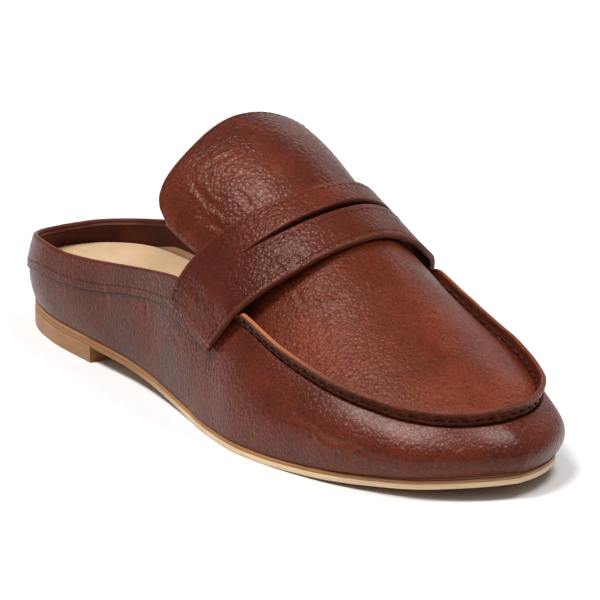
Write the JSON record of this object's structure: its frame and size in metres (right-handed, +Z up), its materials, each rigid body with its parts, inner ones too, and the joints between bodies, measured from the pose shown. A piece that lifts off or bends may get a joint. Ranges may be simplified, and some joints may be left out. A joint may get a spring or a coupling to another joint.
{
  "type": "loafer mule",
  "caption": "Backless leather loafer for the right foot with an apron toe, a tongue and a slotted saddle strap on a low-heeled leather sole.",
  "frame": {"origin": "middle of the shoe in plan, on the ground plane under the sole", "axes": "+X from heel to toe, +Y to the inner side of the foot, +Z up"},
  "size_m": [0.2628, 0.0886, 0.0891],
  "materials": {
    "upper_leather": "semi-gloss pebbled",
    "sole_leather": "satin",
    "sock_leather": "matte"
  },
  "bodies": {
    "root": {"outsole": "sole_leather", "heel_block": "sole_leather", "insole": "sock_leather", "upper": "upper_leather", "tongue": "upper_leather", "saddle_strap": "upper_leather"}
  },
  "joints": []
}
